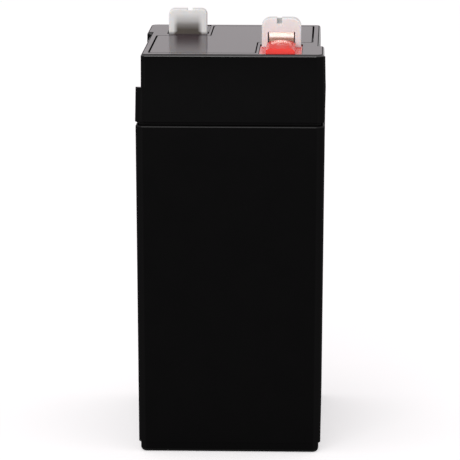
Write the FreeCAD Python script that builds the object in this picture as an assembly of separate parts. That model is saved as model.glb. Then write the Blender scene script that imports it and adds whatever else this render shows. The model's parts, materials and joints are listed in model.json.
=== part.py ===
import FreeCAD
import Part
import math
import os

V = FreeCAD.Vector

# Sealed three-cell lead acid battery, in millimetres. The origin is the centre of the base, +Z is up, the
# front is towards -Y and the cells stand in a row along Y. Whatever lies off the middle is repeated by half
# a turn about Z: the positive terminal is at the front right, the negative one at the rear left.

# Case and lid, outside
case_width = 46.8
case_length = 69.8
case_height = 82.95
case_draft_deg = 0.42
corner_radius = 2.0
foot_height = 2.6
foot_inset = 0.5
foot_edge_radius = 1.3
lip_chamfer = 0.5
rim_overhang = 0.1
seam_gap = 0.7
lid_height = 16.95
lid_draft_deg = 1.0
top_edge_radius = 0.65
rim_edge_chamfer = 0.2

# Side channels of the lid, each open to one end but for a low corner post
channel_depth = 1.4
full_width_length = 20.0
channel_floor_rise = 2.35
channel_corner_radius = 1.2
channel_end_radius = 0.6
corner_post_rise = 8.7
corner_post_depth = 1.5

# Case inside
wall = 2.0
case_floor = 2.6
cell_count = 3
partition = 1.5
tongue = 1.15
tongue_rise = 2.4
weld_hole_radius = 3.2

# Lid inside
deck = 2.2
lid_inner_lip = 1.0
groove_play = 0.05
pan_wall = 1.2
pan_floor = 1.6
well_wall = 1.2
well_floor = 1.8

# Valve cover plate, sunk flush in the lid: two blocks of a Z, joined across the middle. Its margins are those
# to the lid's side channel, to the lid's end and to the terminal wells beside it.
plate_thickness = 1.6
plate_side_margin = 1.8
plate_end_margin = 3.8
plate_well_side_margin = 0.9
plate_well_end_margin = 4.2
plate_corner_radius = 0.8
plate_gap = 0.4
plate_ledge = 1.2
pan_depth = 5.6

# Vent tubes of the lid and the rubber caps that close them
tube_radius = 3.0
vent_bore_radius = 1.2
valve_cap_wall = 1.3
valve_cap_top = 1.6
valve_cap_chamfer = 0.4
valve_cap_fit = 0.05
valve_cap_floor_gap = 0.7

# Terminal wells, round the posts. A well's middle is placed from the lid's side and its outer end from the
# lid's end.
terminal_inset = 11.1
well_width = 10.6
well_length = 21.8
well_end_margin = 1.8
well_depth = 7.6
well_corner_radius = 0.8
post_to_well_end = 8.7
post_radius = 3.2
post_fit = 0.15
post_top_drop = 2.6
ring_height = 1.6
ring_wall = 1.6

# Blade terminals
tab_width = 6.35
tab_thickness = 0.8
tab_to_well_back = 2.7
tab_rise = 5.3
tab_bend_radius = 1.2
tab_corner_chamfer = 1.0
tab_foot_overhang = 2.8

# Resin poured into the wells: a level pool with a long low hump over the post
red_level_drop = 0.28
black_level_drop = 0.93
hump_width = 7.2
hump_rise = 2.3
hump_side_rise = 1.1
hump_to_tab = 3.1
hump_end_rise = 1.6
hump_end_arch = 1.1
hump_front_gap = 0.1
cast_gap = 0.02

# Slip-on terminal covers
cover_width = 9.9
cover_thickness = 4.2
cover_height = 7.35
cover_shoulder_radius = 1.9
cover_edge_radius = 0.35
cover_back_chamfer = 0.25
cover_front_wall = 1.25
cover_thin_wall = 0.7
window_height = 3.8
window_width = 6.85
slot_width = 1.3
slot_offset = -0.5
slot_depth = 1.5
slot_back_wall = 0.6
slot_back_notch = 0.3
tab_side_clearance = 0.25
tab_face_clearance = 0.2
tab_end_clearance = 0.15

# Plates, separators and straps
positive_plate_thickness = 2.4
negative_plate_thickness = 1.6
plates_positive = 3
plate_side_play = 0.7
stack_play = 0.1
separator_overlap = 0.5
separator_extra_height = 1.5
lug_width = 7.0
lug_height = 4.0
plate_frame = 2.0
paste_sink = 0.12
strap_width = 7.6
strap_thickness = 4.0
weld_lug_thickness = 2.2
weld_lug_rise = 6.6
weld_lug_headroom = 2.0
weld_centre_rise = 2.8
weld_fit = 0.2

# How far a cut reaches past the face that it opens, and how near two places are that count as the same
cut_margin = 1.0
tolerance = 0.001

# Sizes that follow from those above
seam_height = case_height + seam_gap
lid_top = seam_height + lid_height
lid_half_x = case_width / 2 + rim_overhang
lid_half_y = case_length / 2 + rim_overhang
case_slope = math.tan(math.radians(case_draft_deg))
case_base_inset = (case_height - foot_height) * case_slope
lid_top_inset = lid_height * math.tan(math.radians(lid_draft_deg))
inner_half_x = case_width / 2 - wall
inner_half_y = case_length / 2 - wall
floor_half_x = inner_half_x - (case_height - case_floor) * case_slope
floor_half_y = inner_half_y - (case_height - case_floor) * case_slope
cell_length = (2 * floor_half_y - (cell_count - 1) * partition) / cell_count
cell_pitch = cell_length + partition
channel_x = lid_half_x - lid_top_inset - channel_depth
channel_end_y = lid_half_y - full_width_length
terminal_x = lid_half_x - terminal_inset
well_front = lid_half_y - well_end_margin
well_back = well_front - well_length
post_y = well_front - post_to_well_end
tab_y = well_back + tab_to_well_back
hump_back = tab_y + hump_to_tab
plate_outer_x = channel_x - plate_side_margin
plate_inner_x = terminal_x - well_width / 2 - plate_well_side_margin
plate_outer_y = lid_half_y - plate_end_margin
plate_step_y = well_back - plate_well_end_margin
vent_x = (plate_outer_x - plate_inner_x) / 2
tongue_top = case_height + tongue_rise
tongue_inset = wall - tongue
cavity_half_x = inner_half_x - groove_play - lid_inner_lip
cavity_half_y = inner_half_y - groove_play - lid_inner_lip
plate_seat = lid_top - plate_thickness
pan_bottom = plate_seat - pan_depth
tube_top = plate_seat - valve_cap_top
well_bottom = lid_top - well_depth
post_top = lid_top - post_top_drop
plates_negative = plates_positive + 1
separator_count = 2 * plates_positive
separator_thickness = (cell_length - 2 * stack_play - plates_positive * positive_plate_thickness
                       - plates_negative * negative_plate_thickness) / separator_count
plate_pitch = positive_plate_thickness + negative_plate_thickness + 2 * separator_thickness
plate_half_x = floor_half_x - plate_side_play
strap_top = case_height - weld_lug_headroom - weld_lug_rise
weld_z = strap_top + weld_centre_rise
lug_top = strap_top - strap_thickness
plate_top = lug_top - lug_height
plate_bottom = case_floor + separator_thickness


def cell_y(cell):
    """Middle of a cell, counted from the front."""
    return (cell - (cell_count - 1) / 2) * cell_pitch


def draft_at(z):
    """How much further out than at the case's floor its inner walls are at a height."""
    return (z - case_floor) * case_slope


def half_turn(shape):
    """The same shape at the diagonally opposite place."""
    turned = shape.copy()
    turned.rotate(V(0, 0, 0), V(0, 0, 1), 180)
    return turned


def block(x0, x1, y0, y1, z0, z1):
    return Part.makeBox(x1 - x0, y1 - y0, z1 - z0, V(x0, y0, z0))


def rounded_wire(corners, z):
    """Closed wire at one height through corners (x, y, radius), each turned by an arc, sharp at radius 0."""
    points = [V(x, y, z) for x, y, radius in corners]
    arcs = []
    for index, here in enumerate(points):
        radius = corners[index][2]
        to_before = (points[index - 1] - here).normalize()
        to_after = (points[(index + 1) % len(points)] - here).normalize()
        half_angle = to_before.getAngle(to_after) / 2
        reach = radius / math.tan(half_angle)
        inward = (to_before + to_after).normalize()
        middle = here + inward * (radius / math.sin(half_angle) - radius)
        arcs.append((radius, here + to_before * reach, middle, here + to_after * reach))
    edges = []
    for index, (radius, start, middle, end) in enumerate(arcs):
        edges.append(Part.LineSegment(arcs[index - 1][3], start).toShape())
        if radius > 0:
            edges.append(Part.Arc(start, middle, end).toShape())
    return Part.Wire(edges)


def rectangle(x0, x1, y0, y1, radius):
    return [(x0, y0, radius), (x1, y0, radius), (x1, y1, radius), (x0, y1, radius)]


def centred(half_x, half_y, radius):
    return rectangle(-half_x, half_x, -half_y, half_y, radius)


def prism(corners, z0, z1):
    return Part.Face(rounded_wire(corners, z0)).extrude(V(0, 0, z1 - z0))


def drafted(low, z0, high, z1):
    """Block with plane drafted sides between two rectangles (x0, x1, y0, y1)."""
    solid = Part.makeWedge(low[0], z0, -low[3], -high[3], high[0], low[1], z1, -low[2], -high[2], high[1])
    solid.rotate(V(0, 0, 0), V(1, 0, 0), 90)
    return solid


def drafted_all_round(half_x, half_y, z0, z1, inset):
    """Drafted block in the middle, half sizes at its wider end, which is the low one if inset is positive."""
    wide = (-half_x, half_x, -half_y, half_y)
    narrow = (-half_x + abs(inset), half_x - abs(inset), -half_y + abs(inset), half_y - abs(inset))
    low, high = (wide, narrow) if inset > 0 else (narrow, wide)
    return drafted(low, z0, high, z1)


def upright_edges_rounded(solid, radius):
    height = solid.BoundBox.ZLength
    return solid.makeFillet(radius, [edge for edge in solid.Edges if edge.BoundBox.ZLength > height / 2])


def edges_at_height(shape, z, inside=None):
    """Edges that lie flat at a height, or only those of them that a filter on their middle lets through."""
    found = []
    for edge in shape.Edges:
        box = edge.BoundBox
        if abs(box.ZMin - z) < tolerance and abs(box.ZMax - z) < tolerance:
            if inside is None or inside(box.Center):
                found.append(edge)
    return found


def cell_cavity(cell):
    """Room for one cell: only the outer walls of the case have a draft, partitions are upright."""
    near = cell_y(cell) - cell_length / 2
    far = cell_y(cell) + cell_length / 2
    mouth_x = floor_half_x + draft_at(tongue_top)
    mouth_y = floor_half_y + draft_at(tongue_top)
    near_top = -mouth_y if cell == 0 else near
    far_top = mouth_y if cell == cell_count - 1 else far
    return drafted((-floor_half_x, floor_half_x, near, far), case_floor,
                   (-mouth_x, mouth_x, near_top, far_top), tongue_top)


def weld_hole(gap):
    """The hole in the partition behind the given cell, on the side where that cell's straps end."""
    x = -terminal_x if gap % 2 == 0 else terminal_x
    y = cell_y(gap) + cell_length / 2
    return Part.makeCylinder(weld_hole_radius, partition, V(x, y, weld_z), V(0, 1, 0))


def container():
    base_x = case_width / 2 - case_base_inset
    base_y = case_length / 2 - case_base_inset
    foot_outline = centred(base_x - foot_inset, base_y - foot_inset, corner_radius - foot_inset)
    foot = prism(foot_outline, 0, foot_height)
    foot = foot.makeFillet(foot_edge_radius, edges_at_height(foot, 0))
    body = drafted_all_round(case_width / 2, case_length / 2, foot_height, case_height, -case_base_inset)
    body = upright_edges_rounded(body, corner_radius)
    body = body.makeChamfer(lip_chamfer, edges_at_height(body, case_height))
    tongue_ring = prism(centred(case_width / 2 - tongue_inset, case_length / 2 - tongue_inset,
                                corner_radius - tongue_inset), case_height - lip_chamfer, tongue_top)
    shell = foot.fuse([body, tongue_ring])
    for cell in range(cell_count):
        shell = shell.cut(cell_cavity(cell))
    for gap in range(cell_count - 1):
        shell = shell.cut(weld_hole(gap))
    return shell.removeSplitter()


def z_outline(grow):
    """Outline of the valve cover plate, grown outwards all round."""
    outer_x = plate_outer_x + grow
    inner_x = plate_inner_x + grow
    outer_y = plate_outer_y + grow
    step_y = plate_step_y + grow
    radius = plate_corner_radius
    half = [(-outer_x, -outer_y, radius), (inner_x, -outer_y, radius), (inner_x, -step_y, radius),
            (outer_x, -step_y, radius)]
    return half + [(-x, -y, r) for x, y, r in half]


def vent_places():
    """Each cell's vent, in the middle of its cell and under the cover plate."""
    side = {0: -vent_x, cell_count - 1: vent_x}
    return [(side.get(cell, 0.0), cell_y(cell)) for cell in range(cell_count)]


def lid_shell():
    """Lid from outside: narrow over the side channels, full width at two opposite corners and at the rim."""
    outside = drafted_all_round(lid_half_x, lid_half_y, 0, lid_height, lid_top_inset)
    outside = upright_edges_rounded(outside, corner_radius)
    outside = outside.makeChamfer(rim_edge_chamfer, edges_at_height(outside, 0))
    top_half_y = lid_half_y - lid_top_inset
    core = drafted((-channel_x, channel_x, -lid_half_y, lid_half_y), 0,
                   (-channel_x, channel_x, -top_half_y, top_half_y), lid_height)
    core = upright_edges_rounded(core, channel_corner_radius)
    past_x = lid_half_x + cut_margin
    past_y = lid_half_y + cut_margin
    rim = block(-past_x, past_x, -past_y, past_y, -cut_margin, channel_floor_rise)
    full_width = block(0, past_x, -past_y, -channel_end_y, 0, lid_height + cut_margin)
    corner_post_back = -lid_half_y + lid_top_inset + corner_post_depth
    corner_post = block(-past_x, 0, -past_y, corner_post_back, 0, corner_post_rise)
    inside = core.fuse([rim, full_width, half_turn(full_width), corner_post, half_turn(corner_post)])
    body = outside.common(inside).removeSplitter()
    ends = [edge for edge in body.Edges if edge.BoundBox.ZLength > channel_depth
            and abs(edge.BoundBox.Center.x) > channel_x + channel_depth / 2
            and abs(abs(edge.BoundBox.Center.y) - channel_end_y) < tolerance]
    body = body.makeFillet(channel_end_radius, ends)
    body = body.makeFillet(top_edge_radius, edges_at_height(body, lid_height))
    body.translate(V(0, 0, seam_height))
    return body


def wall_groove():
    """Space in the lid's lower edge for the case's tongue and partitions, which are glued into it."""
    inset = tongue_inset - groove_play
    groove = prism(centred(case_width / 2 - inset, case_length / 2 - inset, corner_radius - inset),
                   seam_height, tongue_top)
    half_x = inner_half_x - groove_play
    for cell in range(cell_count):
        near = -inner_half_y if cell == 0 else cell_y(cell) - cell_length / 2
        far = inner_half_y if cell == cell_count - 1 else cell_y(cell) + cell_length / 2
        groove = groove.cut(block(-half_x, half_x, near + groove_play, far - groove_play,
                                  seam_height, tongue_top))
    return groove


def lid():
    shell = lid_shell()
    cavity = block(-cavity_half_x, cavity_half_x, -cavity_half_y, cavity_half_y, seam_height, lid_top - deck)
    rib_half = partition / 2 + groove_play + lid_inner_lip
    left_solid = []
    for gap in range(cell_count - 1):
        y = cell_y(gap) + cell_pitch / 2
        left_solid.append(block(-cavity_half_x, cavity_half_x, y - rib_half, y + rib_half,
                                seam_height, lid_top - deck))
    left_solid.append(prism(z_outline(pan_wall - plate_ledge), pan_bottom - pan_floor, lid_top - deck))
    well_block = prism(well_outline(well_wall), well_bottom - well_floor, lid_top - deck)
    left_solid += [well_block, half_turn(well_block)]
    for solid in left_solid:
        cavity = cavity.cut(solid)
    cuts = [cavity, prism(z_outline(plate_gap), plate_seat, lid_top + cut_margin)]
    pan = prism(z_outline(-plate_ledge), pan_bottom, plate_seat)
    for x, y in vent_places():
        pan = pan.cut(Part.makeCylinder(tube_radius, tube_top - pan_bottom, V(x, y, pan_bottom)))
        cuts.append(Part.makeCylinder(vent_bore_radius, lid_height, V(x, y, seam_height)))
    cuts.append(pan)
    well = prism(well_outline(0), well_bottom, lid_top + cut_margin)
    post_hole = Part.makeCylinder(post_radius + post_fit, well_depth + well_floor,
                                  V(terminal_x, -post_y, well_bottom - well_floor))
    cuts += [well, half_turn(well), post_hole, half_turn(post_hole)]
    cuts.append(wall_groove())
    for cut in cuts:
        shell = shell.cut(cut)
    return shell.removeSplitter()


def well_outline(grow):
    """Outline of the positive terminal's well, grown outwards all round."""
    half = well_width / 2 + grow
    return rectangle(terminal_x - half, terminal_x + half, -well_front - grow, -well_back + grow,
                     well_corner_radius)


def valve_cover_plate():
    return prism(z_outline(0), plate_seat, lid_top)


def valve_cap(place):
    """Rubber bonnet pushed over a vent tube and held down by the cover plate."""
    x, y = place
    inner = tube_radius + valve_cap_fit
    bottom = pan_bottom + valve_cap_floor_gap
    cap = Part.makeCylinder(inner + valve_cap_wall, plate_seat - bottom, V(x, y, bottom))
    cap = cap.makeChamfer(valve_cap_chamfer, edges_at_height(cap, plate_seat))
    return cap.cut(Part.makeCylinder(inner, tube_top - bottom, V(x, y, bottom)))


def blade_terminal(level_drop):
    """Tinned strip: a foot soldered on the post, bent up into the blade that the cover slips over."""
    top = lid_top - level_drop + tab_rise
    back = -tab_y + tab_thickness / 2
    front = back - tab_thickness
    foot_start = -post_y - tab_foot_overhang
    inner = tab_bend_radius
    outer = tab_bend_radius + tab_thickness
    foot_top = post_top + tab_thickness
    centre_y = front - inner
    centre_z = foot_top + inner
    points = [V(0, foot_start, post_top), V(0, centre_y, post_top), V(0, back, centre_z), V(0, back, top),
              V(0, front, top), V(0, front, centre_z), V(0, centre_y, foot_top), V(0, foot_start, foot_top)]
    bend_centre = V(0, centre_y, centre_z)
    halfway = V(0, 1, -1).normalize()
    outer_arc = Part.Arc(points[1], bend_centre + halfway * outer, points[2]).toShape()
    inner_arc = Part.Arc(points[5], bend_centre + halfway * inner, points[6]).toShape()
    edges = []
    for index in range(len(points)):
        if index == 1:
            edges.append(outer_arc)
        elif index == 5:
            edges.append(inner_arc)
        else:
            edges.append(Part.LineSegment(points[index], points[(index + 1) % len(points)]).toShape())
    strip = Part.Face(Part.Wire(edges)).extrude(V(tab_width, 0, 0))
    strip.translate(V(terminal_x - tab_width / 2, 0, 0))
    corners = [edge for edge in strip.Edges
               if edge.BoundBox.ZMin > top - tolerance and edge.BoundBox.XLength < tolerance]
    return strip.makeChamfer(tab_corner_chamfer, corners)


def resin_hump(level):
    """Long low hump of resin, arched over its width and cut down towards both ends by a flatter arch."""
    half = hump_width / 2
    across = [V(-half, 0, 0), V(-half, 0, hump_side_rise), V(0, 0, hump_rise), V(half, 0, hump_side_rise),
              V(half, 0, 0)]
    arch = Part.Wire([Part.LineSegment(across[0], across[1]).toShape(),
                      Part.Arc(across[1], across[2], across[3]).toShape(),
                      Part.LineSegment(across[3], across[4]).toShape(),
                      Part.LineSegment(across[4], across[0]).toShape()])
    near = -well_front + hump_front_gap
    far = -hump_back
    middle = (near + far) / 2
    along = [V(-half, near, 0), V(-half, near, hump_end_rise),
             V(-half, middle, hump_end_rise + hump_end_arch), V(-half, far, hump_end_rise), V(-half, far, 0)]
    profile = Part.Wire([Part.LineSegment(along[0], along[1]).toShape(),
                         Part.Arc(along[1], along[2], along[3]).toShape(),
                         Part.LineSegment(along[3], along[4]).toShape(),
                         Part.LineSegment(along[4], along[0]).toShape()])
    crosswise = Part.Face(arch).extrude(V(0, far - near, 0))
    crosswise.translate(V(0, near, 0))
    hump = crosswise.common(Part.Face(profile).extrude(V(hump_width, 0, 0)))
    hump.translate(V(terminal_x, 0, level))
    return hump


def terminal_seal(level_drop):
    level = lid_top - level_drop
    seal = prism(well_outline(-cast_gap), well_bottom, level).fuse(resin_hump(level))
    seal = seal.cut(Part.makeCylinder(post_radius + cast_gap, post_top - well_bottom,
                                      V(terminal_x, -post_y, well_bottom)))
    seal = seal.cut(Part.makeCylinder(post_radius + ring_wall + cast_gap, ring_height,
                                      V(terminal_x, -post_y, well_bottom)))
    seal = seal.cut(blade_terminal(level_drop))
    return seal.removeSplitter()


def post_ring():
    """Rubber ring round the post on the well's floor, under the resin."""
    place = V(terminal_x, -post_y, well_bottom)
    ring = Part.makeCylinder(post_radius + ring_wall, ring_height, place)
    return ring.cut(Part.makeCylinder(post_radius + cast_gap, ring_height, place))


def terminal_cover(level_drop):
    """Soft moulded cover: arched shoulders, a window in front, a thin wall behind and a slot in the top."""
    def not_at_foot(place):
        return place.y > cover_edge_radius

    base = lid_top - level_drop
    tab_front = -tab_y - tab_thickness / 2
    front = tab_front - tab_face_clearance - cover_front_wall
    back = front + cover_thickness
    half = cover_width / 2
    outline = [(-half, 0, 0), (half, 0, 0), (half, cover_height, cover_shoulder_radius),
               (-half, cover_height, cover_shoulder_radius)]
    body = prism(outline, 0, cover_thickness)
    body = body.makeFillet(cover_edge_radius, edges_at_height(body, cover_thickness, not_at_foot))
    body = body.makeChamfer(cover_back_chamfer, edges_at_height(body, 0, not_at_foot))
    body.rotate(V(0, 0, 0), V(1, 0, 0), 90)
    body.translate(V(terminal_x, back, base))
    pocket_half = tab_width / 2 + tab_side_clearance
    pocket_back = front + cover_front_wall + tab_thickness + 2 * tab_face_clearance
    window_half = window_width / 2
    slot_middle = terminal_x + slot_offset
    top = base + cover_height
    cuts = [
        block(terminal_x - window_half, terminal_x + window_half, front - cut_margin, back - cover_thin_wall,
              base, base + window_height),
        block(terminal_x - pocket_half, terminal_x + pocket_half, front + cover_front_wall, pocket_back,
              base, base + tab_rise + tab_end_clearance),
        block(slot_middle - slot_width / 2, slot_middle + slot_width / 2, front - cut_margin,
              back - slot_back_wall, top - slot_depth, top + cut_margin),
        block(slot_middle - slot_width / 2, slot_middle + slot_width / 2, back - slot_back_wall,
              back + cut_margin, top - slot_back_notch, top + cut_margin)]
    for cut in cuts:
        body = body.cut(cut)
    return body.removeSplitter()


def pasted_plate(thickness, y, lug_x):
    """Pasted plate: the cast frame stands a little proud of the paste in it, with a lug for the strap."""
    half = thickness / 2
    plate = block(-plate_half_x, plate_half_x, y - half, y + half, plate_bottom, plate_top)
    pane_x = plate_half_x - plate_frame
    pane_low = plate_bottom + plate_frame
    pane_high = plate_top - plate_frame
    for near, far in ((y - half, y - half + paste_sink), (y + half - paste_sink, y + half)):
        plate = plate.cut(block(-pane_x, pane_x, near, far, pane_low, pane_high))
    lug = block(lug_x - lug_width / 2, lug_x + lug_width / 2, y - half, y + half, plate_top, lug_top)
    return plate.fuse(lug).removeSplitter()


def positive_side(cell):
    """Side of the positive lugs, which changes from cell to cell so that the straps meet."""
    return terminal_x if cell % 2 == 0 else -terminal_x


def positive_plate_y(cell, index):
    return cell_y(cell) + (index - (plates_positive - 1) / 2) * plate_pitch


def negative_plate_y(cell, index):
    return cell_y(cell) + (index - (plates_negative - 1) / 2) * plate_pitch


def separator(y):
    """Glass mat folded up round a positive plate."""
    half_x = plate_half_x + separator_overlap
    inner = positive_plate_thickness / 2
    outer = inner + separator_thickness
    top = plate_top + separator_extra_height
    mat = block(-half_x, half_x, y - outer, y + outer, case_floor, top)
    folds = [edge for edge in edges_at_height(mat, case_floor) if edge.BoundBox.XLength > half_x]
    mat = mat.makeFillet(separator_thickness, folds)
    return mat.cut(block(-half_x, half_x, y - inner, y + inner, plate_bottom, top))


def strap(x, places, half_thickness, weld_face=0.0, with_post=False):
    """Lead bar cast over the lugs of like plates, with a post or a lug that is welded through a partition."""
    near = min(places) - half_thickness
    far = max(places) + half_thickness
    if weld_face and weld_face < min(places):
        near = weld_face
    if weld_face and weld_face > max(places):
        far = weld_face
    bar = block(x - strap_width / 2, x + strap_width / 2, near, far, lug_top, strap_top)
    if weld_face:
        inward = 1 if weld_face == near else -1
        lug_near = min(weld_face, weld_face + inward * weld_lug_thickness)
        lug = block(x - strap_width / 2, x + strap_width / 2, lug_near, lug_near + weld_lug_thickness,
                    strap_top, strap_top + weld_lug_rise)
        nugget = Part.makeCylinder(weld_hole_radius - weld_fit, partition / 2, V(x, weld_face, weld_z),
                                   V(0, -inward, 0))
        bar = bar.fuse([lug, nugget])
    if with_post:
        post_place = -post_y if x > 0 else post_y
        bar = bar.fuse(Part.makeCylinder(post_radius, post_top - strap_top, V(x, post_place, strap_top)))
    return bar.removeSplitter()


def cell_straps(cell):
    """Positive and negative strap of one cell. A strap meets its neighbour at the partition's weld face."""
    front_face = cell_y(cell) - cell_length / 2
    back_face = cell_y(cell) + cell_length / 2
    first = cell == 0
    last = cell == cell_count - 1
    positive_places = [positive_plate_y(cell, index) for index in range(plates_positive)]
    negative_places = [negative_plate_y(cell, index) for index in range(plates_negative)]
    positive = strap(positive_side(cell), positive_places, positive_plate_thickness / 2,
                     0.0 if first else front_face, first)
    negative = strap(-positive_side(cell), negative_places, negative_plate_thickness / 2,
                     0.0 if last else back_face, last)
    return positive, negative


def all_parts():
    parts = {
        "container": container(),
        "lid": lid(),
        "valve_cover_plate": valve_cover_plate(),
        "positive_terminal": blade_terminal(red_level_drop),
        "negative_terminal": half_turn(blade_terminal(black_level_drop)),
        "positive_terminal_seal": terminal_seal(red_level_drop),
        "negative_terminal_seal": half_turn(terminal_seal(black_level_drop)),
        "positive_post_ring": post_ring(),
        "negative_post_ring": half_turn(post_ring()),
        "positive_terminal_cover": terminal_cover(red_level_drop),
        "negative_terminal_cover": half_turn(terminal_cover(black_level_drop)),
    }
    for cell, place in enumerate(vent_places()):
        name = "cell_%d_" % (cell + 1)
        parts[name + "valve_cap"] = valve_cap(place)
        positive, negative = cell_straps(cell)
        parts[name + "positive_strap"] = positive
        parts[name + "negative_strap"] = negative
        for index in range(plates_positive):
            y = positive_plate_y(cell, index)
            parts[name + "positive_plate_%d" % (index + 1)] = pasted_plate(positive_plate_thickness, y,
                                                                         positive_side(cell))
            parts[name + "separator_%d" % (index + 1)] = separator(y)
        for index in range(plates_negative):
            y = negative_plate_y(cell, index)
            parts[name + "negative_plate_%d" % (index + 1)] = pasted_plate(negative_plate_thickness, y,
                                                                         -positive_side(cell))
    return parts


os.makedirs("parts", exist_ok=True)
for node, shape in all_parts().items():
    shape.exportStep("parts/%s.step" % node)
    print(node, len(shape.Solids), round(shape.Volume, 1), shape.isValid())
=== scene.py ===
import json
import math

import bmesh
import bpy
from mathutils import Matrix, Vector


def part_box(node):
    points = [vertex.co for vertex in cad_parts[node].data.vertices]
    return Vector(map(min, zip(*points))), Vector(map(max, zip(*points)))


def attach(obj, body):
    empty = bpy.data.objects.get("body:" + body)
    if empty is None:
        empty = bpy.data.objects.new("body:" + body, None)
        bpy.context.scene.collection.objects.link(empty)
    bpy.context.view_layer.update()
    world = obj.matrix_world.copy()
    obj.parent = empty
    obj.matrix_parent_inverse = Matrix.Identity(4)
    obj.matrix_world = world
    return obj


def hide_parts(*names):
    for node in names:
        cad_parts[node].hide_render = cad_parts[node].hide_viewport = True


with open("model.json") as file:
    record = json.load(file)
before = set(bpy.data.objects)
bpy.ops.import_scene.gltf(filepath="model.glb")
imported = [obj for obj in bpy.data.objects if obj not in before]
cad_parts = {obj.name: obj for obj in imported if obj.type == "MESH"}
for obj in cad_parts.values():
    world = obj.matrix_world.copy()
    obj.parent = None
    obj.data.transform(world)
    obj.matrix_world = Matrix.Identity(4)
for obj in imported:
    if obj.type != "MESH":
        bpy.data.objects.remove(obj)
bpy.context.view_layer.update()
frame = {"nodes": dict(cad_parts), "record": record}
mm = 0.001

# The view. The battery stands upright and is seen from a little above, almost square to its narrow front end,
# through a long lens that keeps its upright edges nearly parallel.
image_width = 460
focal_length = 3240.85
camera_place = Vector((25.991, -827.039, 192.720)) * mm
camera_turn = math.radians(1.870)
camera_drop = math.radians(9.727)
camera_roll = math.radians(0.049)

camera_data = bpy.data.cameras.new("camera")
camera_data.sensor_width = 36.0
camera_data.lens = focal_length / image_width * camera_data.sensor_width
camera = bpy.data.objects.new("camera", camera_data)
camera_aim = (Matrix.Rotation(camera_turn, 4, "Z") @ Matrix.Rotation(math.pi / 2 - camera_drop, 4, "X")
              @ Matrix.Rotation(camera_roll, 4, "Z"))
camera.matrix_world = Matrix.Translation(camera_place) @ camera_aim
bpy.context.collection.objects.link(camera)
bpy.context.scene.camera = camera


# The container. One deep injection moulding in black plastic with a glossy skin: drafted walls on a foot that
# is stepped in, two partitions that make three cells, and a tongue round the top that the lid is glued over.
case_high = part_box("container")[1]
foot_height = 2.6 * mm
foot_inset = 0.5 * mm
foot_radius = 1.2 * mm
case_corner_radius = 2.0 * mm
case_draft_degrees = 0.42
case_slope = math.tan(math.radians(case_draft_degrees))
tongue_rise = 2.4 * mm
tongue_inset = 0.85 * mm
lip_radius = 0.5 * mm
case_wall = 2.0 * mm
case_floor = 2.6 * mm
partition = 1.5 * mm
cell_count = 3
weld_hole_radius = 3.2 * mm
weld_drop = 5.8 * mm
cut_margin = 1.0 * mm
arc_steps = 10
same_place = 0.002 * mm


def level_outline(corners, z):
    """New mesh with one level face through corners (x, y, radius), each rounded to an arc."""
    bm = bmesh.new()
    points = [bm.verts.new((x, y, z)) for x, y, radius in corners]
    bm.faces.new(points)
    for point, corner in zip(points, corners):
        if corner[2] > 0:
            bmesh.ops.bevel(bm, geom=[point], offset=corner[2], segments=arc_steps, profile=0.5,
                            affect="VERTICES", material=-1)
    return bm


def rectangle(x0, x1, y0, y1, radius):
    return [(x0, y0, radius), (x1, y0, radius), (x1, y1, radius), (x0, y1, radius)]


def points_in(geometry):
    return [item for item in geometry if isinstance(item, bmesh.types.BMVert)]


def face_in(geometry):
    return next(item for item in geometry if isinstance(item, bmesh.types.BMFace))


def pulled(bm, face, z, grow=0.0):
    """Pull a level face to another height, growing it there on each side, and return its new place."""
    made = bmesh.ops.extrude_face_region(bm, geom=[face])["geom"]
    points = points_in(made)
    half_x = max(abs(point.co.x) for point in points)
    half_y = max(abs(point.co.y) for point in points)
    bmesh.ops.scale(bm, vec=(1 + grow / half_x, 1 + grow / half_y, 1), verts=points)
    for point in points:
        point.co.z = z
    if all(len(edge.link_faces) > 2 for edge in face.edges):
        bm.faces.remove(face)
    return face_in(made)


def prism(corners, z0, z1):
    """Upright block between two heights on a rounded outline."""
    bm = level_outline(corners, z0)
    bm.faces.ensure_lookup_table()
    pulled(bm, bm.faces[0], z1)
    bmesh.ops.recalc_face_normals(bm, faces=bm.faces[:])
    return bm


def block(x0, x1, y0, y1, z0, z1):
    return prism(rectangle(x0, x1, y0, y1, 0), z0, z1)


def lying_rod(middle, radius, length, axis, steps=160):
    bm = bmesh.new()
    turn = Matrix.Rotation(math.pi / 2, 4, "X" if axis == "Y" else "Y")
    bmesh.ops.create_cone(bm, cap_ends=True, segments=steps, radius1=radius, radius2=radius, depth=length,
                          matrix=Matrix.Translation(middle) @ turn)
    return bm


def ring_at(bm, z):
    """Edges that lie level at a height."""
    return [edge for edge in bm.edges if all(abs(point.co.z - z) < same_place for point in edge.verts)]


def sharp_edges(bm, degrees=40.0):
    return [edge for edge in bm.edges
            if len(edge.link_faces) == 2 and edge.calc_face_angle(0) > math.radians(degrees)]


def polish_layer(bm):
    """Where each face keeps how far its edge was polished, for the material to read."""
    layers = bm.faces.layers.float
    return layers.get("edge_polish") or layers.new("edge_polish")


def rounded(bm, edges, radius, steps=4, polish=0.0, lifts=(-1.0, 1.0)):
    """Round edges, and polish those of the new faces whose normals lift between two values."""
    mark = polish_layer(bm)
    made = bmesh.ops.bevel(bm, geom=edges, offset=radius, segments=steps, profile=0.5, affect="EDGES",
                           clamp_overlap=True, material=-1)
    bm.normal_update()
    for face in made["faces"]:
        if lifts[0] <= face.normal.z <= lifts[1]:
            face[mark] = polish


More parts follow.
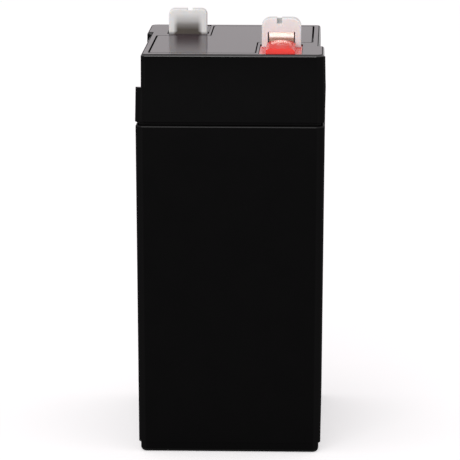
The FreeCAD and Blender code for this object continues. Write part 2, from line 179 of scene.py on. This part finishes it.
def drawn_in(bm, top, radius, steps, polish, lifts):
    """Round the edge all round the level face at the top, drawing the face in over a quarter circle."""
    mark = polish_layer(bm)
    face = next(face for face in bm.faces if all(abs(point.co.z - top) < same_place for point in face.verts))
    for point in face.verts:
        point.co.z -= radius
    for step in range(steps):
        before, after = (math.pi / 2 * count / steps for count in (step, step + 1))
        inwards = radius * (math.cos(before) - math.cos(after))
        upwards = radius * (math.sin(after) - math.sin(before))
        made = bmesh.ops.inset_region(bm, faces=[face], thickness=inwards, depth=upwards,
                                      use_even_offset=True)
        bm.normal_update()
        for side in made["faces"]:
            if lifts[0] <= side.normal.z <= lifts[1]:
                side[mark] = polish


def scratch_object(bm):
    mesh = bpy.data.meshes.new("scratch")
    bm.to_mesh(mesh)
    bm.free()
    made = bpy.data.objects.new("scratch", mesh)
    bpy.context.collection.objects.link(made)
    return made


def joined(body, others, operation="DIFFERENCE"):
    """The body with other shapes cut out of it, or added to it, as the two halves of its mould would do."""
    target = scratch_object(body)
    tools = [scratch_object(other) for other in others]
    for tool in tools:
        step = target.modifiers.new("step", "BOOLEAN")
        step.solver = "EXACT"
        step.operation = operation
        step.object = tool
    result = bmesh.new()
    result.from_object(target, bpy.context.evaluated_depsgraph_get())
    for used in [target] + tools:
        mesh = used.data
        bpy.data.objects.remove(used)
        bpy.data.meshes.remove(mesh)
    bmesh.ops.remove_doubles(result, verts=result.verts[:], dist=same_place)
    bmesh.ops.dissolve_limit(result, angle_limit=math.radians(0.3), verts=result.verts[:],
                             edges=result.edges[:])
    return result


def piece(bm, name, material):
    """Make a mesh into a named object at the origin, smooth over its rounded edges and crisp elsewhere."""
    bmesh.ops.remove_doubles(bm, verts=bm.verts[:], dist=same_place)
    bmesh.ops.recalc_face_normals(bm, faces=bm.faces[:])
    for face in bm.faces:
        face.smooth = True
    for edge in sharp_edges(bm):
        edge.smooth = False
    mesh = bpy.data.meshes.new(name)
    bm.to_mesh(mesh)
    bm.free()
    mesh.materials.append(material)
    made = bpy.data.objects.new(name, mesh)
    bpy.context.collection.objects.link(made)
    weighted = made.modifiers.new("normals", "WEIGHTED_NORMAL")
    weighted.keep_sharp = True
    weighted.weight = 80
    return made


class Signal:
    """One output in a node tree. Sums written with it add the nodes that work them out."""

    def __init__(self, nodes, socket):
        self.nodes = nodes
        self.socket = socket

    def maths(self, operation, *values):
        return self.nodes.node("ShaderNodeMath", {"operation": operation}, dict(enumerate(values)))

    def __add__(self, other):
        return self.maths("ADD", self, other)

    def __radd__(self, other):
        return self.maths("ADD", other, self)

    def __sub__(self, other):
        return self.maths("SUBTRACT", self, other)

    def __rsub__(self, other):
        return self.maths("SUBTRACT", other, self)

    def __mul__(self, other):
        return self.maths("MULTIPLY", self, other)

    def __rmul__(self, other):
        return self.maths("MULTIPLY", other, self)

    def __abs__(self):
        return self.maths("ABSOLUTE", self)


class Nodes:
    """The node tree of a shader: one method adds any node, and feed leads a signal to the shader."""

    def __init__(self, tree, shader):
        self.tree = tree
        self.shader = tree.nodes[shader]

    def node(self, kind, settings=None, inputs=None, output=0):
        """Add a node: its settings first, then the values or links of its sockets."""
        made = self.tree.nodes.new(kind)
        for name, value in (settings or {}).items():
            if name == "stops":
                ramp = made.color_ramp.elements
                for index, (position, shade) in enumerate(value):
                    stop = ramp[index] if index < 2 else ramp.new(position)
                    stop.position = position
                    stop.color = (shade, shade, shade, 1.0)
            else:
                setattr(made, name, value)
        for name, value in (inputs or {}).items():
            if isinstance(value, Signal):
                self.tree.links.new(value.socket, made.inputs[name])
            else:
                made.inputs[name].default_value = value
        return Signal(self, made.outputs[output])

    def feed(self, name, signal):
        self.tree.links.new(signal.socket, self.shader.inputs[name])

    def seen(self):
        """1 for what the camera sees, straight or mirrored, and 0 for the light on the object."""
        kinds = ("Is Camera Ray", "Is Glossy Ray", "Is Transmission Ray")
        camera_ray, glossy_ray, clear_ray = (self.node("ShaderNodeLightPath", output=kind) for kind in kinds)
        return camera_ray + glossy_ray + clear_ray


class Finish(Nodes):
    """A material: constants set on its shader, and nodes for what varies over the surface."""

    def __init__(self, name, constants):
        self.material = bpy.data.materials.new(name)
        self.material.use_nodes = True
        super().__init__(self.material.node_tree, "Principled BSDF")
        for socket, value in constants.items():
            self.shader.inputs[socket].default_value = value
        self.place = self.node("ShaderNodeTexCoord", output="Object")

    def normal(self):
        return self.node("ShaderNodeTexCoord", output="Normal")

    def along(self, vector, axis):
        return self.node("ShaderNodeSeparateXYZ", {}, {0: vector}, axis)

    def stretched(self, scale):
        return self.node("ShaderNodeMapping", {}, {"Vector": self.place, "Scale": scale})

    def noise(self, scale, detail=3.0, place=None):
        return self.node("ShaderNodeTexNoise", {}, {"Vector": place or self.place, "Scale": scale,
                                                    "Detail": detail}, "Fac")

    def ramp(self, value, *stops):
        return self.node("ShaderNodeValToRGB", {"stops": stops}, {"Fac": value}, "Color")

    def blend(self, factor, first, second):
        return self.node("ShaderNodeMix", {"data_type": "RGBA"}, {0: factor, 6: first, 7: second}, 2)

    def bump(self, height, strength, distance):
        sockets = {"Height": height, "Strength": strength, "Distance": distance}
        self.feed("Normal", self.node("ShaderNodeBump", {}, sockets))


black = Finish("case_plastic", {"Specular IOR Level": 0.0, "Coat Roughness": 0.10, "Coat IOR": 2.0})
edge_polish = black.node("ShaderNodeAttribute", {"attribute_name": "edge_polish"}, {}, "Fac")
facing = black.normal()
face_x, face_y, lift = (black.along(facing, axis) for axis in "XYZ")
height = black.along(black.place, "Z")
corner = black.ramp(abs(face_x * face_y), (0.04, 0.0), (0.20, 1.0))
level_top = black.ramp(lift, (0.955, 0.0), (0.995, 1.0)) * black.ramp(10.0 * height, (0.88, 0.0), (0.90, 1.0))
black.feed("Coat Weight", 0.02 + edge_polish + 0.012 * corner + 0.48 * level_top)
scuffs = black.noise(900.0, 6.0)
black.feed("Roughness", 0.5 + 0.1 * scuffs)
bare = black.blend(black.noise(140.0), (0.0012, 0.0012, 0.0013, 1), (0.0020, 0.0019, 0.0020, 1))
# Painted sheen: the level top is painted a lighter mauve grey that stands in for the sheen of light on it.
black.feed("Base Color", black.blend(level_top, bare, (0.068, 0.050, 0.059, 1)))
black.bump(black.noise(160.0, 2.0), 0.05, 0.05 * mm)

half_x = case_high.x
half_y = case_high.y
lip_height = case_high.z - tongue_rise
case_base_inset = (lip_height - foot_height) * case_slope
base_x = half_x - case_base_inset
base_y = half_y - case_base_inset
shell = level_outline(rectangle(-base_x, base_x, -base_y, base_y, case_corner_radius), foot_height)
shell.faces.ensure_lookup_table()
underside = shell.faces[0]
walls_top = pulled(shell, underside, lip_height, case_base_inset)
bmesh.ops.inset_region(shell, faces=[walls_top], thickness=tongue_inset, use_even_offset=True)
pulled(shell, walls_top, case_high.z)
bmesh.ops.inset_region(shell, faces=[underside], thickness=foot_inset, use_even_offset=True)
pulled(shell, underside, 0.0)
bmesh.ops.recalc_face_normals(shell, faces=shell.faces[:])
rounded(shell, ring_at(shell, 0.0), foot_radius, 8, polish=0.05, lifts=(-1.0, -0.4))
lip_ring = [edge for edge in ring_at(shell, lip_height) if edge.calc_face_angle_signed(0) > 0.5]
rounded(shell, lip_ring, lip_radius, 6, polish=0.09)

inner_half_x = half_x - case_wall
inner_half_y = half_y - case_wall
floor_half_x = inner_half_x - (lip_height - case_floor) * case_slope
floor_half_y = inner_half_y - (lip_height - case_floor) * case_slope
cell_length = (2 * floor_half_y - (cell_count - 1) * partition) / cell_count
cell_pitch = cell_length + partition
cell_draft = (case_high.z + cut_margin - case_floor) * case_slope
cells = []
for cell in range(cell_count):
    near = -floor_half_y + cell * cell_pitch
    room = block(-floor_half_x, floor_half_x, near, near + cell_length, case_floor,
                 case_high.z + cut_margin)
    for point in room.verts:
        if point.co.z > case_high.z:
            point.co.x += math.copysign(cell_draft, point.co.x)
            if abs(point.co.y) > floor_half_y - same_place:
                point.co.y += math.copysign(cell_draft, point.co.y)
    cells.append(room)
terminal_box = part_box("positive_terminal")
terminal_x = (terminal_box[0].x + terminal_box[1].x) / 2
weld_holes = [lying_rod((x, y, lip_height - weld_drop), weld_hole_radius, 2 * partition, "Y", 48)
              for x, y in ((-terminal_x, -cell_pitch / 2), (terminal_x, cell_pitch / 2))]
shell = joined(shell, cells + weld_holes)
container = piece(shell, "container_shell", black.material)
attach(container, "battery")
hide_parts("container")


# The plate stacks. Each cell holds three positive and four negative pasted plates, with a glass mat folded
# round each positive one and a cast lead strap over the lugs of like plates. They are sealed in, and keep
# their own solids.
def cell_finish(name, first, second, scale, roughness, metallic=0.0):
    """Rough finish that wanders between two colours."""
    made = Finish(name, {"Roughness": roughness, "Metallic": metallic})
    made.feed("Base Color", made.blend(made.noise(scale), first, second))
    made.bump(made.noise(scale * 2.5), 0.4, 0.1 * mm)
    return made.material


cell_finishes = {
    "lead": cell_finish("lead", (0.20, 0.21, 0.22, 1), (0.36, 0.37, 0.39, 1), 400.0, 0.5, metallic=0.9),
    "positive_paste": cell_finish("positive_paste", (0.045, 0.018, 0.012, 1), (0.10, 0.045, 0.03, 1),
                                  900.0, 0.9),
    "negative_paste": cell_finish("negative_paste", (0.20, 0.21, 0.22, 1), (0.30, 0.31, 0.32, 1), 900.0, 0.8),
    "glass_mat": cell_finish("glass_mat", (0.70, 0.70, 0.68, 1), (0.84, 0.84, 0.82, 1), 1500.0, 0.95),
    "valve_rubber": cell_finish("valve_rubber", (0.012, 0.012, 0.012, 1), (0.025, 0.025, 0.025, 1),
                                700.0, 0.7),
}
for subpart in frame["record"]["subparts"]:
    if subpart["material_slot"] in cell_finishes:
        slots = frame["nodes"][subpart["node"]].data.materials
        slots.clear()
        slots.append(cell_finishes[subpart["material_slot"]])


# The lid. The second black moulding, glued over the case's tongue: two shallow side channels that each run
# out to one end past a low corner post, a bed for the valve cover, and a deep well round each terminal.
lid_low, lid_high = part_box("lid")
lid_draft_degrees = 1.0
lid_slope = math.tan(math.radians(lid_draft_degrees))
lid_draft = (lid_high.z - lid_low.z) * lid_slope
channel_depth = 1.2 * mm
channel_floor_rise = 2.35 * mm
channel_corner_radius = 1.2 * mm
channel_end_radius = 0.9 * mm
full_width_length = 20.0 * mm
corner_post_rise = 8.7 * mm
corner_post_depth = 1.5 * mm
top_edge_radius = 0.65 * mm
rim_edge_radius = 0.2 * mm
mouth_radius = 0.12 * mm
deck = 2.2 * mm
lid_inner_lip = 1.0 * mm
groove_play = 0.05 * mm
cut_clearance = 0.005 * mm
valve_plate_thickness = 1.6 * mm
bed_gap = 0.30 * mm
bed_inner_gap = 0.14 * mm
valve_plate_ledge = 1.2 * mm
pan_depth = 5.6 * mm
pan_floor = 1.6 * mm
tube_radius = 3.0 * mm
tube_drop = 1.6 * mm
vent_bore_radius = 1.2 * mm
well_width = 10.6 * mm
well_length = 21.8 * mm
well_end_margin = 1.8 * mm
well_corner_radius = 0.8 * mm
well_wall = 1.2 * mm
well_floor = 1.8 * mm
post_radius = 3.2 * mm
post_fit = 0.15 * mm
post_to_well_end = 8.7 * mm
plate_well_side_margin = 0.9 * mm
plate_well_end_margin = 4.2 * mm
inside_corner_reach = 0.2 * mm
past = 2 * mm

seal_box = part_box("positive_terminal_seal")
plate_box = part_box("valve_cover_plate")
well_bottom = seal_box[0].z
well_front = lid_high.y - well_end_margin
well_back = well_front - well_length
post_y = well_front - post_to_well_end
channel_x = lid_high.x - lid_draft - channel_depth
channel_end_y = lid_high.y - full_width_length
post_start_y = lid_high.y - lid_draft - corner_post_depth
plate_inner_x = terminal_x - well_width / 2 - plate_well_side_margin
plate_step_y = well_back - plate_well_end_margin
seat = lid_high.z - valve_plate_thickness
pan_bottom = seat - pan_depth


def half_turned(bm):
    """The same shape on the other side of the upright axis."""
    turned = bm.copy()
    bmesh.ops.rotate(turned, cent=(0, 0, 0), matrix=Matrix.Rotation(math.pi, 3, "Z"), verts=turned.verts[:])
    return turned


def both_ends(bm):
    return [bm, half_turned(bm)]


def at_front(side, box):
    """Corners of a box, turned half round to the positive terminal if it is at the negative one."""
    low, high = box
    if side == "negative":
        return Vector((-high.x, -high.y, low.z)), Vector((-low.x, -low.y, high.z))
    return low, high


def in_place(side, bm):
    """A shape made at the positive terminal, turned half round if it belongs to the negative one."""
    return bm if side == "positive" else half_turned(bm)


def well_outline(grow):
    half = well_width / 2 + grow
    return rectangle(terminal_x - half, terminal_x + half, -well_front - grow, -well_back + grow,
                     well_corner_radius)


def z_outline(grow, inner_grow=None):
    """Outline of the valve cover: two blocks side by side, joined across the middle."""
    outer_x = plate_box[1].x + grow
    outer_y = plate_box[1].y + grow
    inner_x = plate_inner_x + (grow if inner_grow is None else inner_grow)
    step_y = plate_step_y + grow
    half = [(-outer_x, -outer_y), (inner_x, -outer_y), (inner_x, -step_y), (outer_x, -step_y)]
    return [(x, y, well_corner_radius) for x, y in half] + [(-x, -y, well_corner_radius) for x, y in half]


def upright_rod(radius, x, y, z0, z1, steps=40):
    bm = bmesh.new()
    bmesh.ops.create_cone(bm, cap_ends=True, segments=steps, radius1=radius, radius2=radius, depth=z1 - z0,
                          matrix=Matrix.Translation((x, y, (z0 + z1) / 2)))
    return bm


def side_cut(corners, z0, axis, beyond):
    """Cutting block from a height up past the lid's top. Beyond a line it leans in with the drafted wall."""
    bm = prism(corners, z0, lid_high.z + past)
    for point in bm.verts:
        if point.co[axis] > beyond + same_place:
            point.co[axis] -= (point.co.z - z0) * lid_slope
    return bm


lid_mesh = level_outline(rectangle(-lid_high.x, lid_high.x, -lid_high.y, lid_high.y, case_corner_radius),
                         lid_low.z)
lid_mesh.faces.ensure_lookup_table()
pulled(lid_mesh, lid_mesh.faces[0], lid_high.z, -lid_draft)
bmesh.ops.recalc_face_normals(lid_mesh, faces=lid_mesh.faces[:])
channel_floor = lid_low.z + channel_floor_rise
post_top = lid_low.z + corner_post_rise
outer_x = lid_high.x + past
wall_x = lid_high.x - channel_floor_rise * lid_slope + cut_clearance
wall_y = lid_high.y - corner_post_rise * lid_slope + cut_clearance
below_end = -channel_end_y - 2 * channel_end_radius
inside_corner = channel_x - channel_corner_radius - inside_corner_reach
channel = side_cut([(channel_x, -channel_end_y, 0), (wall_x, -channel_end_y, channel_end_radius),
                    (wall_x, below_end, 0), (outer_x, below_end, 0), (outer_x, post_start_y, 0),
                    (channel_x, post_start_y, 0)], channel_floor, 0, channel_x)
over_post = side_cut([(channel_x, 0, 0), (channel_x, wall_y, channel_corner_radius),
                      (inside_corner, wall_y, 0), (inside_corner, wall_y + past, 0),
                      (outer_x, wall_y + past, 0), (outer_x, 0, 0)],
                     post_top, 1, post_start_y)
lid_mesh = joined(lid_mesh, both_ends(channel) + both_ends(over_post))
drawn_in(lid_mesh, lid_high.z, top_edge_radius, 8, polish=0.58, lifts=(0.25, 0.80))
rim_ring = [edge for edge in ring_at(lid_mesh, lid_low.z) if edge.calc_face_angle(0) > 0.5]
rounded(lid_mesh, rim_ring, rim_edge_radius, 3)

vent_x = (plate_box[1].x - plate_inner_x) / 2
vent_places = [(-vent_x, -cell_pitch), (0.0, 0.0), (vent_x, cell_pitch)]
pan = prism(z_outline(-valve_plate_ledge), pan_bottom, seat + same_place)
tubes = [upright_rod(tube_radius, x, y, pan_bottom - past, seat - tube_drop) for x, y in vent_places]
pan = joined(pan, tubes)
bores = [upright_rod(vent_bore_radius, x, y, lid_low.z, lid_high.z) for x, y in vent_places]
bed = prism(z_outline(bed_gap, bed_inner_gap), seat, lid_high.z + past)
well = prism(well_outline(0.0), well_bottom, lid_high.z + past)
post_hole = upright_rod(post_radius + post_fit, terminal_x, -post_y, lid_low.z, well_bottom + past)
lid_mesh = joined(lid_mesh, [bed, pan] + bores + both_ends(well) + both_ends(post_hole))

cavity_x = inner_half_x - groove_play - lid_inner_lip
cavity_y = inner_half_y - groove_play - lid_inner_lip
cavity_top = lid_high.z - deck
cavity = block(-cavity_x, cavity_x, -cavity_y, cavity_y, lid_low.z - past, cavity_top)
left_solid = [prism(z_outline(well_wall - valve_plate_ledge), pan_bottom - pan_floor, cavity_top + past)]
left_solid += both_ends(prism(well_outline(well_wall), well_bottom - well_floor, cavity_top + past))
rib_half = partition / 2 + groove_play + lid_inner_lip
groove_inset = tongue_inset - groove_play
groove = prism(rectangle(-half_x + groove_inset, half_x - groove_inset, -half_y + groove_inset,
                         half_y - groove_inset, case_corner_radius - groove_inset),
               lid_low.z - past, case_high.z)
between = []
for cell in range(cell_count):
    near = -floor_half_y + cell * cell_pitch
    far = near + cell_length
    if cell == 0:
        near = -inner_half_y
    if cell == cell_count - 1:
        far = inner_half_y
    between.append(block(-inner_half_x + groove_play, inner_half_x - groove_play, near + groove_play,
                         far - groove_play, lid_low.z - 2 * past, case_high.z + past))
    if cell:
        middle = near - partition / 2
        left_solid.append(block(-cavity_x - past, cavity_x + past, middle - rib_half, middle + rib_half,
                                lid_low.z - 2 * past, cavity_top + past))
lid_mesh = joined(lid_mesh, [joined(cavity, left_solid), joined(groove, between)])
mouths = [edge for edge in sharp_edges(lid_mesh, 60.0) if edge in set(ring_at(lid_mesh, lid_high.z))]
rounded(lid_mesh, mouths, mouth_radius, 3)
lid = piece(lid_mesh, "lid_moulding", black.material)
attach(lid, "battery")
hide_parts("lid")


# The valve cover. A thin flat black moulding shaped like a Z, welded down flush in its bed over the rubber
# valve caps, with a fine dark joint left all round it.
valve_plate = prism(z_outline(0.0), plate_box[0].z, plate_box[1].z)
rounded(valve_plate, sharp_edges(valve_plate, 60.0), mouth_radius, 3)
valve_cover = piece(valve_plate, "valve_cover", black.material)
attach(valve_cover, "battery")
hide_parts("valve_cover_plate")


# The terminals. Tinned brass strip, each with a foot soldered on its lead post and a bend up into the blade
# that a push-on receptacle grips. The negative one is the positive one turned half round.
strip_thickness = 0.8 * mm
strip_bend_radius = 1.2 * mm
blade_chamfer = 1.0 * mm
strip_edge_radius = 0.1 * mm

tin = Finish("tinned_metal", {"Metallic": 0.8})
brushed = tin.noise(1.0, 4.0, tin.stretched((2600.0, 2600.0, 260.0)))
tin.feed("Roughness", 0.26 + 0.14 * brushed)
tin.bump(brushed, 0.15, 0.02 * mm)
streaks = tin.noise(1.0, 3.0, tin.stretched((160.0, 160.0, 1300.0)))
blade_z = tin.along(tin.place, "Z")
# Painted shade: a brown band painted on the blade up to about 2 mm above the lid, where it rises out of the
# resin hump.
painted_shade_at_resin = tin.ramp((blade_z - lid_high.z) * 100.0, (0.185, 0.9), (0.240, 0.0))
bright = tin.ramp(streaks, (0.40, 0.0), (0.60, 1.0))
tinned = tin.blend(bright, (0.90, 0.86, 0.74, 1), (0.97, 0.97, 0.93, 1))
tin.feed("Base Color", tin.blend(painted_shade_at_resin, tinned, (0.26, 0.155, 0.11, 1)))


def blade(low, high):
    """Strip bent up from its foot, between the two corners of its box."""
    bm = bmesh.new()
    foot = [bm.verts.new((x, low.y, z)) for x, z in ((low.x, low.z), (high.x, low.z),
                                                     (high.x, low.z + strip_thickness),
                                                     (low.x, low.z + strip_thickness))]
    end = bm.faces.new(foot)
    bend_y = high.y - strip_thickness - strip_bend_radius
    bend_z = low.z + strip_thickness + strip_bend_radius
    made = bmesh.ops.extrude_face_region(bm, geom=[end])["geom"]
    bmesh.ops.translate(bm, vec=(0, bend_y - low.y, 0), verts=points_in(made))
    turned = bmesh.ops.spin(bm, geom=made, cent=(0, bend_y, bend_z), axis=(1, 0, 0), angle=math.pi / 2,
                            steps=8)["geom_last"]
    tip = face_in(turned)
    made = bmesh.ops.extrude_face_region(bm, geom=[tip])["geom"]
    bm.faces.remove(tip)
    bmesh.ops.translate(bm, vec=(0, 0, high.z - bend_z), verts=points_in(made))
    bmesh.ops.remove_doubles(bm, verts=bm.verts[:], dist=same_place)
    bmesh.ops.recalc_face_normals(bm, faces=bm.faces[:])
    corners = [edge for edge in ring_at(bm, high.z)
               if abs(edge.verts[0].co.x - edge.verts[1].co.x) < same_place]
    bmesh.ops.bevel(bm, geom=corners, offset=blade_chamfer, segments=1, profile=0.5, affect="EDGES",
                    material=-1)
    rounded(bm, sharp_edges(bm), strip_edge_radius, 2)
    return bm


for side, node in (("positive", "positive_terminal"), ("negative", "negative_terminal")):
    low, high = at_front(side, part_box(node))
    terminal = piece(in_place(side, blade(low, high)), side + "_blade", tin.material)
    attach(terminal, "battery")
    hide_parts(node)


# The resin that seals the wells. Red round the positive post and black round the negative one: a level pool
# with a long low hump where the post and the foot of the blade are buried, glossy as it set.
hump_half = 3.6 * mm
hump_rise = 2.3 * mm
hump_side_rise = 1.1 * mm
hump_end_rise = 1.6 * mm
hump_end_arch = 1.1 * mm
hump_front_gap = 0.1 * mm
hump_to_well_back = 5.8 * mm
fill_to_hump_end = 0.6 * mm
hump_near = -well_front + hump_front_gap
hump_far = -well_back - hump_to_well_back
fill_end = hump_far - fill_to_hump_end
hump_edge_radius = 0.4 * mm
arch_length = 60 * mm
red_fill = 0.1 * mm
black_fill = 0.8 * mm
cast_gap = 0.02 * mm
hole_reach = 0.2 * mm
ring_height = 1.6 * mm
ring_wall = 1.6 * mm

red = Finish("red_resin", {"Roughness": 0.15, "Specular IOR Level": 0.006, "Subsurface Weight": 0.25,
                           "Subsurface Radius": (1.0, 0.15, 0.1), "Subsurface Scale": 0.6 * mm,
                           "Coat Roughness": 0.15})
red.feed("Base Color", red.blend(red.noise(300.0), (0.93, 0.088, 0.074, 1), (0.90, 0.072, 0.060, 1)))
red.bump(red.noise(350.0), 0.12, 0.15 * mm)
resin_lift = red.along(red.normal(), "Z")
red.feed("Coat Weight", 0.24 * red.ramp(resin_lift, (0.985, 0.0), (1.0, 1.0)))
dark_resin = Finish("black_resin", {"Specular IOR Level": 0.0, "Coat Weight": 0.58, "Coat Roughness": 0.22,
                                    "Coat IOR": 2.0})
dark_resin.feed("Base Color", dark_resin.blend(dark_resin.noise(300.0), (0.020, 0.012, 0.016, 1),
                                               (0.030, 0.018, 0.024, 1)))
dark_resin.bump(dark_resin.noise(350.0), 0.12, 0.15 * mm)


def arch_radius(half_chord, rise):
    return (half_chord ** 2 + rise ** 2) / (2 * rise)


def resin(low, level, fill, strip):
    """Pool filled up higher round the post, with its hump, cast round the post, the ring and the strip."""
    middle_y = (hump_near + hump_far) / 2
    across = arch_radius(hump_half, hump_rise - hump_side_rise)
    along = arch_radius((hump_far - hump_near) / 2, hump_end_arch)
    hump = block(terminal_x - hump_half, terminal_x + hump_half, hump_near, hump_far, level - past,
                 level + hump_rise + past)
    over_width = lying_rod((terminal_x, middle_y, level + hump_rise - across), across, arch_length, "Y")
    over_length = lying_rod((terminal_x, middle_y, level + hump_end_rise + hump_end_arch - along), along,
                            arch_length, "X", 240)
    hump = joined(hump, [over_width, over_length], "INTERSECT")
    rounded(hump, sharp_edges(hump), hump_edge_radius, 4)
    pool = prism(well_outline(-cast_gap), low, level + fill)
    shallow = block(terminal_x - well_width, terminal_x + well_width, fill_end, -well_back + past, level,
                    level + past)
    body = joined(joined(pool, [shallow]), [hump], "UNION")
    hole_top = terminal_box[0].z + hole_reach
    ring_hole_radius = post_radius + ring_wall + cast_gap
    post_gap = upright_rod(post_radius + cast_gap, terminal_x, -post_y, low - past, hole_top)
    ring_gap = upright_rod(ring_hole_radius, terminal_x, -post_y, low - past, low + ring_height)
    return joined(body, [post_gap, ring_gap, strip])


for side, finish, fill in (("positive", red, red_fill), ("negative", dark_resin, black_fill)):
    low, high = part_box(side + "_terminal_seal")
    blade_low, blade_high = at_front(side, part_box(side + "_terminal"))
    cast = resin(low.z, high.z - hump_rise, fill, blade(blade_low, blade_high))
    seal = piece(in_place(side, cast), side + "_seal", finish.material)
    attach(seal, "battery")
    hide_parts(side + "_terminal_seal")


# The terminal covers. Small soft mouldings in cloudy natural plastic, slipped down over the blades for
# transport: arched shoulders, a window in front, a thin wall behind and a slot in the top.
cover_edge_radius = 0.35 * mm
cover_inner_radius = 0.12 * mm
above_foot = 0.5 * mm
cover_front_wall = 1.25 * mm
cover_thin_wall = 0.7 * mm
window_height = 3.8 * mm
window_width = 6.85 * mm
pocket_height = 5.45 * mm
pocket_width = 6.85 * mm
pocket_depth = 1.2 * mm
slot_width = 1.3 * mm
slot_offset = -0.5 * mm
slot_depth = 1.5 * mm
slot_back_wall = 0.6 * mm
slot_back_notch = 0.3 * mm
front_shoulder_radius = 2.2 * mm
rear_shoulder_radius = 1.5 * mm
slot_middle = terminal_x + slot_offset

cloudy = Finish("cover_plastic", {"Roughness": 0.5, "Specular IOR Level": 0.0, "Subsurface Weight": 1.0,
                                  "Subsurface Radius": (1.0, 0.9, 0.8), "Subsurface Scale": 0.5 * mm})
cover_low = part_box("negative_terminal_cover")[0]
cover_x, cover_y, cover_z = (cloudy.along(cloudy.place, axis) for axis in "XYZ")
# Painted shade on the covers' thin back wall: the blade's shadow seen through it, darker towards the foot, a
# painted shadow along the foot and painted shade at the slot.
over_blade = cloudy.ramp(abs(abs(cover_x) - terminal_x) * 200.0, (0.52, 1.0), (0.76, 0.0))
thin_wall = cloudy.ramp((abs(cover_y) - cover_low.y) * 200.0, (0.14, 1.0), (0.30, 0.0))
height_up = (cover_z - cover_low.z) * 100.0
blade_shade = cloudy.ramp(height_up, (0.20, 1.0), (0.33, 0.74), (0.42, 0.38), (0.62, 0.0))
foot_shade = cloudy.ramp(height_up, (0.105, 0.55), (0.160, 0.0))
across_slot = cloudy.ramp(abs(cover_x - slot_middle) * 500.0, (0.30, 0.25), (0.40, 0.0))
above_slot_floor = cloudy.ramp(height_up, (0.62, 0.0), (0.66, 1.0))
shaded = thin_wall * (over_blade * blade_shade + foot_shade + across_slot * above_slot_floor)
milky = cloudy.blend(cloudy.noise(260.0), (0.87, 0.875, 0.865, 1), (0.82, 0.82, 0.81, 1))
cloudy.feed("Base Color", cloudy.blend(shaded, milky, (0.13, 0.115, 0.10, 1)))
cloudy.bump(cloudy.noise(500.0), 0.15, 0.1 * mm)


def cover_shape(low, high, shoulder_radius):
    """One cover, standing at the positive terminal between the two corners of its box."""
    half = (high.x - low.x) / 2
    bm = prism([(-half, 0, 0), (half, 0, 0), (half, high.z - low.z, shoulder_radius),
                (-half, high.z - low.z, shoulder_radius)], 0, high.y - low.y)
    softened = [edge for edge in bm.edges if edge.calc_face_angle(0) > 1
                and sum(point.co.y for point in edge.verts) > above_foot
                and abs(edge.verts[0].co.z - edge.verts[1].co.z) < same_place]
    rounded(bm, softened, cover_edge_radius, 5)
    bmesh.ops.rotate(bm, cent=(0, 0, 0), matrix=Matrix.Rotation(math.pi / 2, 3, "X"), verts=bm.verts[:])
    middle = (low.x + high.x) / 2
    bmesh.ops.translate(bm, vec=(middle, high.y, low.z), verts=bm.verts[:])
    pocket_front = low.y + cover_front_wall
    slot_x = middle + slot_offset
    slot_end = high.y - slot_back_wall
    window = block(middle - window_width / 2, middle + window_width / 2, low.y - past,
                   high.y - cover_thin_wall, low.z - past, low.z + window_height)
    pocket = block(middle - pocket_width / 2, middle + pocket_width / 2, pocket_front,
                   pocket_front + pocket_depth, low.z - past, low.z + pocket_height)
    slot = block(slot_x - slot_width / 2, slot_x + slot_width / 2, low.y - past, slot_end,
                 high.z - slot_depth, high.z + past)
    notch = block(slot_x - slot_width / 2, slot_x + slot_width / 2, slot_end, high.y + past,
                  high.z - slot_back_notch, high.z + past)
    bm = joined(bm, [window, pocket, slot, notch])
    rounded(bm, sharp_edges(bm), cover_inner_radius, 2)
    return bm


for side, shoulder_radius in (("positive", front_shoulder_radius), ("negative", rear_shoulder_radius)):
    low, high = at_front(side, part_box(side + "_terminal_cover"))
    moulded = cover_shape(low, high, shoulder_radius)
    cover = piece(in_place(side, moulded), side + "_cover", cloudy.material)
    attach(cover, side + "_cover")
    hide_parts(side + "_terminal_cover")


# The floor, the surroundings and the lights: a white sweep under an even pale studio sky, one wide soft box
# overhead and one in front, a little to the left.
sky_light = 0.64
white_glow = 0.46
white = Finish("floor_white", {"Base Color": (0.86, 0.853, 0.856, 1), "Roughness": 0.9,
                               "Specular IOR Level": 0.0, "Emission Color": (1.0, 0.99, 0.995, 1)})
white.feed("Emission Strength", white_glow * white.seen())
floor_mesh = bmesh.new()
bmesh.ops.create_grid(floor_mesh, x_segments=1, y_segments=1, size=6.0)
piece(floor_mesh, "floor", white.material)

world = bpy.data.worlds.new("world")
world.use_nodes = True
sky = Nodes(world.node_tree, "Background")
sky.shader.inputs["Color"].default_value = (1.0, 0.965, 0.98, 1)
sky.feed("Strength", sky_light + (1 - sky_light) * sky.seen())
bpy.context.scene.world = world


def soft_box(name, place, target, width, depth, power):
    data = bpy.data.lights.new(name, "AREA")
    data.shape = "RECTANGLE"
    data.size = width
    data.size_y = depth
    data.energy = power
    lamp = bpy.data.objects.new(name, data)
    lamp.location = place
    lamp.rotation_euler = (Vector(target) - Vector(place)).to_track_quat("-Z", "Y").to_euler()
    bpy.context.collection.objects.link(lamp)


soft_box("soft_box_above", (0.0, -0.1, 1.1), (0.0, 0.0, 0.1), 0.7, 0.6, 0.3)
soft_box("soft_box_front", (-0.25, -1.15, 0.40), (0.0, 0.0, 0.1), 0.8, 0.5, 6.0)

bpy.context.scene.view_settings.view_transform = "Standard"
